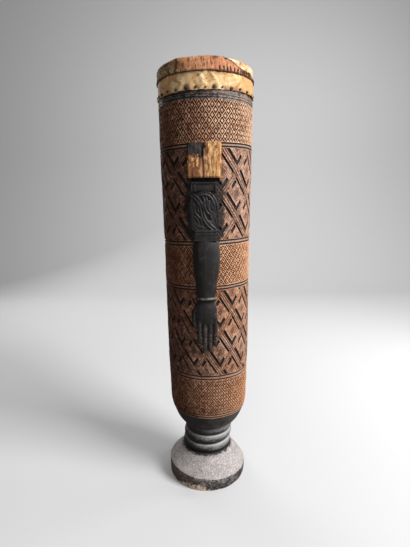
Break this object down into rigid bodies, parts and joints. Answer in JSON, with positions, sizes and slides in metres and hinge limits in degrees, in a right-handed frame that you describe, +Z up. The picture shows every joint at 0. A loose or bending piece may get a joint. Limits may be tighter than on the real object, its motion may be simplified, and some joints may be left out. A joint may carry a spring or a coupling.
{
  "type": "carved ceremonial drum",
  "caption": "Tall standing drum carved from one log, with a hide head pegged over its mouth, a ringed neck, a round foot and an arm and hand in relief on the front.",
  "frame": {"origin": "on the axis of the drum's wall, at the flat underside of its foot", "axes": "+Z up along the drum; -Y is the front, with the arm and hand; +X is to the right seen from the front"},
  "size_m": [0.2434, 0.2621, 1.1029],
  "materials": {
    "carved_wood": "hand-carved, stained black and red-brown, worn satin",
    "hide": "dried raw hide, cream with brown stains",
    "dark_hide": "dry dark hide, matt",
    "fibre": "twisted plant fibre, blackened",
    "peg_wood": "dark hardwood, matt"
  },
  "bodies": {
    "root": {"drum_body": "carved_wood", "drum_skin": "hide", "rim_band": "dark_hide", "band_lacing": "fibre", "peg_01": "peg_wood", "peg_02": "peg_wood", "peg_03": "peg_wood", "peg_04": "peg_wood", "peg_05": "peg_wood", "peg_06": "peg_wood", "peg_07": "peg_wood", "peg_08": "peg_wood", "peg_09": "peg_wood", "peg_10": "peg_wood", "peg_11": "peg_wood", "peg_12": "peg_wood", "peg_13": "peg_wood", "peg_14": "peg_wood", "peg_15": "peg_wood", "peg_16": "peg_wood", "peg_17": "peg_wood", "peg_18": "peg_wood", "peg_19": "peg_wood", "peg_20": "peg_wood", "peg_21": "peg_wood", "peg_22": "peg_wood", "peg_23": "peg_wood", "peg_24": "peg_wood", "peg_25": "peg_wood", "peg_26": "peg_wood", "peg_27": "peg_wood", "peg_28": "peg_wood", "peg_29": "peg_wood", "peg_30": "peg_wood", "peg_31": "peg_wood", "peg_32": "peg_wood"}
  },
  "joints": []
}
